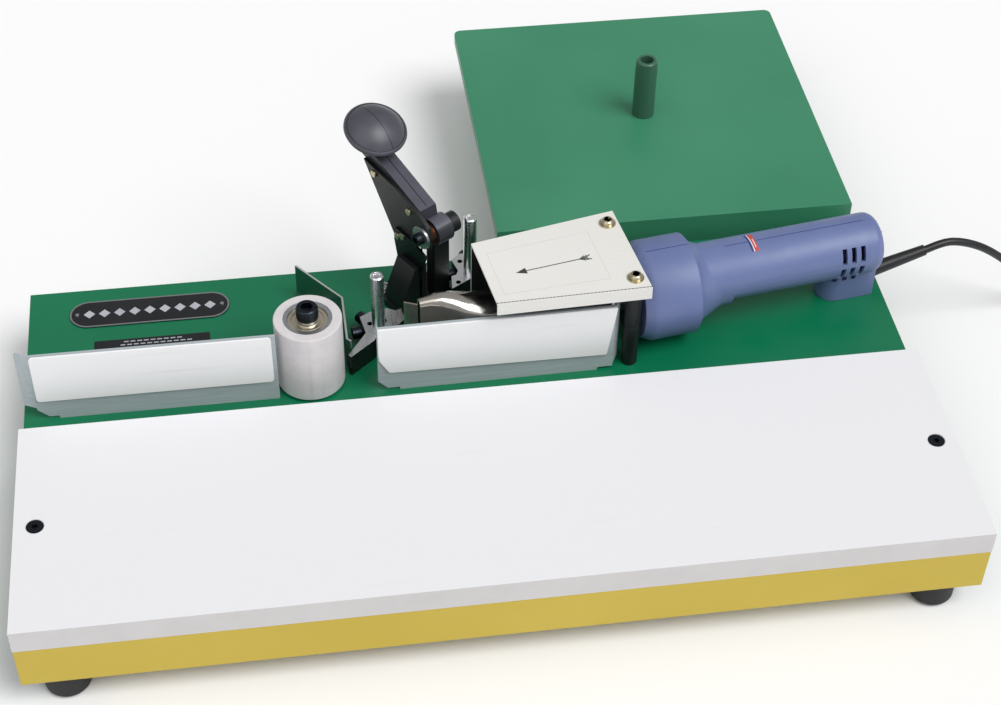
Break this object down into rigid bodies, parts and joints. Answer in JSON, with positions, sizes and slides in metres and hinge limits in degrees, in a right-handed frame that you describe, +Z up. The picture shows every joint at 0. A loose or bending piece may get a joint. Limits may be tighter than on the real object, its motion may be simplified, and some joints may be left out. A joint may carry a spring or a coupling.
{
  "type": "edge banding machine",
  "caption": "Bench-top machine that heats, presses on and cuts off edging tape: work board, two fences, pressure roller, lever cutter, hot-air gun under a shield, reel tray.",
  "frame": {"origin": "on the bench, at the middle of the bounding box of the machine without its cord", "axes": "+Z up, +Y from the operator to the back, +X from the outfeed end to the infeed end"},
  "size_m": [0.945, 0.635, 0.2024],
  "materials": {
    "deck_green": "satin paint",
    "tray_green": "satin paint",
    "fascia_yellow": "satin paint",
    "laminate": "semi-gloss melamine on particle board",
    "foot_rubber": "matte",
    "zinc": "zinc plated",
    "spindle_paint": "satin paint",
    "tyre_rubber": "light grey, matte",
    "core_metal": "turned",
    "bearing_steel": "ground",
    "axle_steel": "black oxide",
    "fence_metal": "galvanised",
    "pad_plastic": "slippery white sheet",
    "guard_paint": "dark satin paint",
    "block_aluminium": "sawn and milled",
    "pin_chrome": "bright",
    "cutter_black": "semi-gloss black",
    "lever_black": "semi-gloss black",
    "blade_steel": "ground",
    "spring_copper": "copper coloured wire",
    "bronze": "sintered bronze",
    "screw_brass": "yellow passivated",
    "knob_black": "semi-gloss phenolic",
    "shield_white": "semi-gloss white",
    "gun_blue": "fine grained moulding",
    "nozzle_steel": "polished, lightly heat tinted",
    "ceramic": "unglazed ceramic",
    "motor_steel": "plain",
    "fan_plastic": "moulded",
    "switch_black": "moulded",
    "cord_rubber": "matte",
    "plate_black": "gloss, bright edge",
    "label_black": "printed film"
  },
  "bodies": {
    "table": {"base_pan": "deck_green", "front_fascia": "fascia_yellow", "foot_front_left": "foot_rubber", "foot_front_right": "foot_rubber", "foot_rear_left": "foot_rubber", "foot_rear_right": "foot_rubber", "foot_screws": "zinc", "work_board": "laminate", "board_screws": "axle_steel", "reel_tray": "tray_green", "tray_spacers": "tray_green", "tray_bolts": "zinc", "reel_spindle": "spindle_paint", "spindle_screw": "zinc", "roller_axle": "axle_steel", "roller_spacers": "zinc", "roller_guard": "guard_paint", "outfeed_fence": "fence_metal", "outfeed_pad": "pad_plastic", "deck_screws": "zinc", "outfeed_block": "block_aluminium", "infeed_block": "block_aluminium", "tape_pins": "pin_chrome", "block_screws": "axle_steel", "cutter_bracket": "cutter_black", "pivot_bolt": "axle_steel", "pivot_washer": "zinc", "return_spring": "spring_copper", "nozzle_clamp": "zinc", "lower_posts": "cutter_black", "upper_posts": "cutter_black", "heat_shield": "shield_white", "shield_screws": "screw_brass", "gun_shell_near": "gun_blue", "gun_shell_far": "gun_blue", "hot_air_nozzle": "nozzle_steel", "heater_core": "ceramic", "fan_motor": "motor_steel", "cord_gland": "cord_rubber", "power_cord": "cord_rubber", "cord_coil": "cord_rubber", "cord_tie": "cord_rubber", "cord_tail": "cord_rubber", "plug_body": "cord_rubber", "plug_pins": "screw_brass", "name_plate": "plate_black", "spec_label": "label_black"},
    "roller": {"roller_tyre": "tyre_rubber", "roller_core": "core_metal", "roller_bearings": "bearing_steel"},
    "cutter": {"cutter_lever": "lever_black", "lever_side_plate": "cutter_black", "lever_screws": "screw_brass", "cutter_blade": "blade_steel", "cutter_knob": "knob_black", "pivot_bush": "bronze"},
    "infeed_fence_body": {"infeed_fence": "fence_metal", "infeed_pad": "pad_plastic"},
    "fan": {"blower_fan": "fan_plastic"},
    "rocker": {"rocker_switch": "switch_black"}
  },
  "joints": [
    {"name": "roller_spin", "type": "hinge", "parent": "table", "child": "roller", "pos_m": [-0.12, -0.0905, 0.09], "axis": [0, 0, 1], "continuous": true},
    {"name": "cutter_swing", "type": "hinge", "parent": "table", "child": "cutter", "pos_m": [-0.031, -0.0282, 0.135], "axis": [-0.8453, -0.5344, 0], "range_deg": [0, 18], "stiffness_Nm_per_rad": 1.2, "springref_deg": -25.78, "deforming": ["return_spring"]},
    {"name": "infeed_fence_slide", "type": "slide", "parent": "table", "child": "infeed_fence_body", "axis": [-0.014, 0.9999, 0], "range_m": [-0.0025, 0.0025]},
    {"name": "fan_spin", "type": "hinge", "parent": "table", "child": "fan", "pos_m": [0.25918, -0.04759, 0.1043], "axis": [0.989, 0.1478, 0], "continuous": true},
    {"name": "rocker_tilt", "type": "hinge", "parent": "table", "child": "rocker", "pos_m": [0.31753, -0.03887, 0.1123], "axis": [-0.1478, 0.989, 0], "range_deg": [0, 10]}
  ]
}
